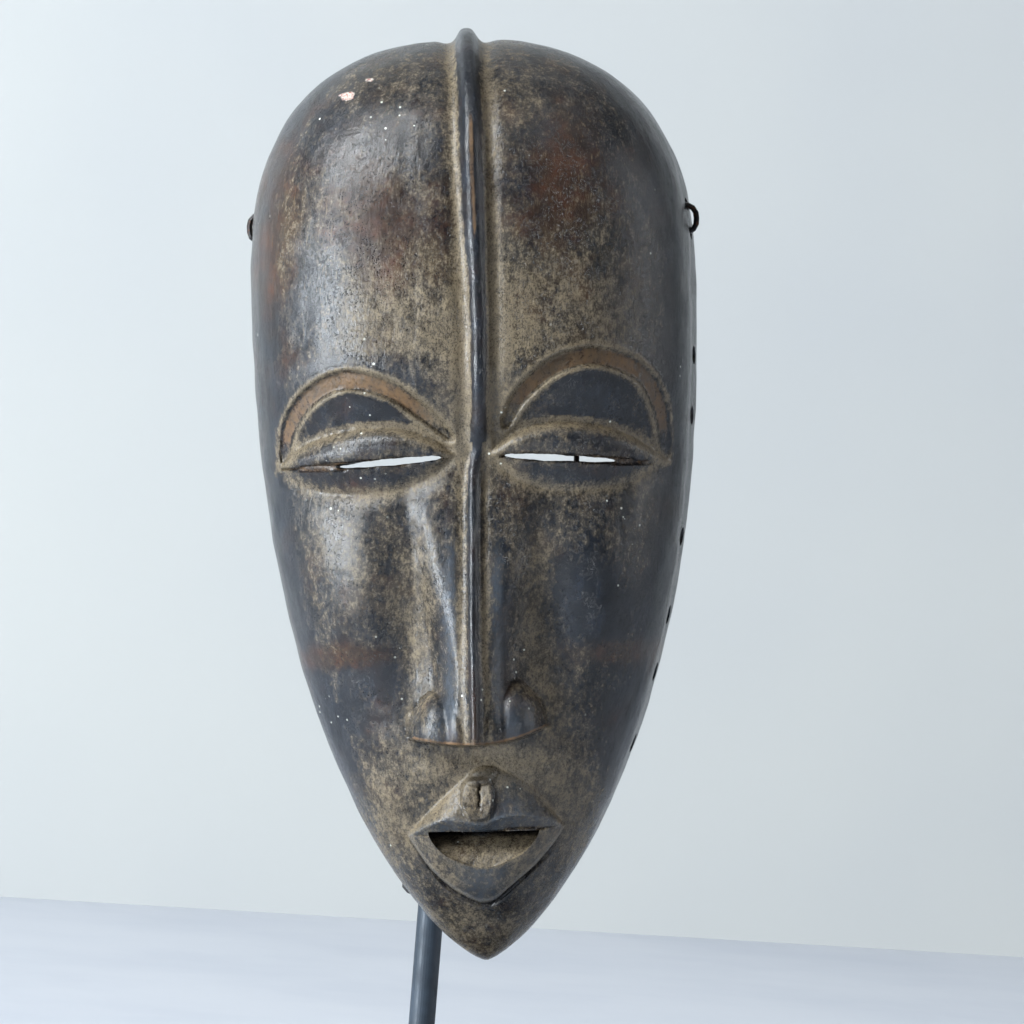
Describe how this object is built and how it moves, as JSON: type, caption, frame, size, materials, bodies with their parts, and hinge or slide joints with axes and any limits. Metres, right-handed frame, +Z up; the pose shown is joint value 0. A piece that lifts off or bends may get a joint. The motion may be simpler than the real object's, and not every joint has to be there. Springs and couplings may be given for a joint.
{
  "type": "carved mask on display stand",
  "caption": "Tall oval carved wooden face mask with a ridged forehead and slit eyes, hung by a wire on a telescopic steel display stand.",
  "frame": {"origin": "on the surface that the felt pads rest on, under the centre of the base plate", "axes": "+Z up, the mask looks along -Y, +X to the viewer's right"},
  "size_m": [0.15, 0.12, 0.3323],
  "materials": {
    "patinated_wood": "hand-carved hardwood, blue-black patina worn to brown, beige dust in the recesses",
    "black_steel": "matt black-grey paint",
    "bare_steel": "turned and zinc-plated",
    "iron_wire": "annealed iron wire, brown-black",
    "black_rubber": "matt",
    "knob_plastic": "moulded, fluted",
    "nylon": "turned, natural colour",
    "felt": "pressed wool felt"
  },
  "bodies": {
    "stand": {"base_plate": "black_steel", "base_screw": "bare_steel", "felt_pad_front_left": "felt", "felt_pad_front_right": "felt", "felt_pad_back_left": "felt", "felt_pad_back_right": "felt", "tube_plug": "bare_steel", "foot_ferrule": "black_steel", "upright_tube": "black_steel", "clamp_collar": "black_steel"},
    "thumb_screw": {"thumb_knob": "knob_plastic", "thumb_stud": "bare_steel"},
    "bumper": {"bumper_ring": "black_rubber"},
    "slider": {"guide_bush": "nylon"},
    "hook": {"upper_rod": "black_steel", "hook_cap": "black_rubber"},
    "spool": {"hook_spool": "nylon"},
    "mask": {"mask_shell": "patinated_wood", "hanging_wire": "iron_wire", "wire_wrap_left": "iron_wire", "wire_wrap_right": "iron_wire"}
  },
  "joints": [
    {"name": "thumb_screw_turn", "type": "hinge", "parent": "stand", "child": "thumb_screw", "pos_m": [0, 0.03, 0.162], "axis": [0, 1, 0], "range_deg": [0, 720]},
    {"name": "bumper_slide", "type": "slide", "parent": "stand", "child": "bumper", "axis": [0, 0, 1], "range_m": [-0.072, 0.058]},
    {"name": "height_slide", "type": "slide", "parent": "stand", "child": "slider", "axis": [0, 0, 1], "range_m": [-0.027, 0.06]},
    {"name": "rod_swivel", "type": "hinge", "parent": "slider", "child": "hook", "pos_m": [0, 0.02, 0.1], "axis": [0, 0, 1], "range_deg": [-85, 85]},
    {"name": "mask_swing", "type": "hinge", "parent": "hook", "child": "spool", "pos_m": [0, 0.0035, 0.288], "axis": [0, 1, 0], "range_deg": [-8, 12]},
    {"name": "mask_lift_off", "type": "slide", "parent": "spool", "child": "mask", "axis": [0, 0, 1], "range_m": [0, 0.02]}
  ]
}
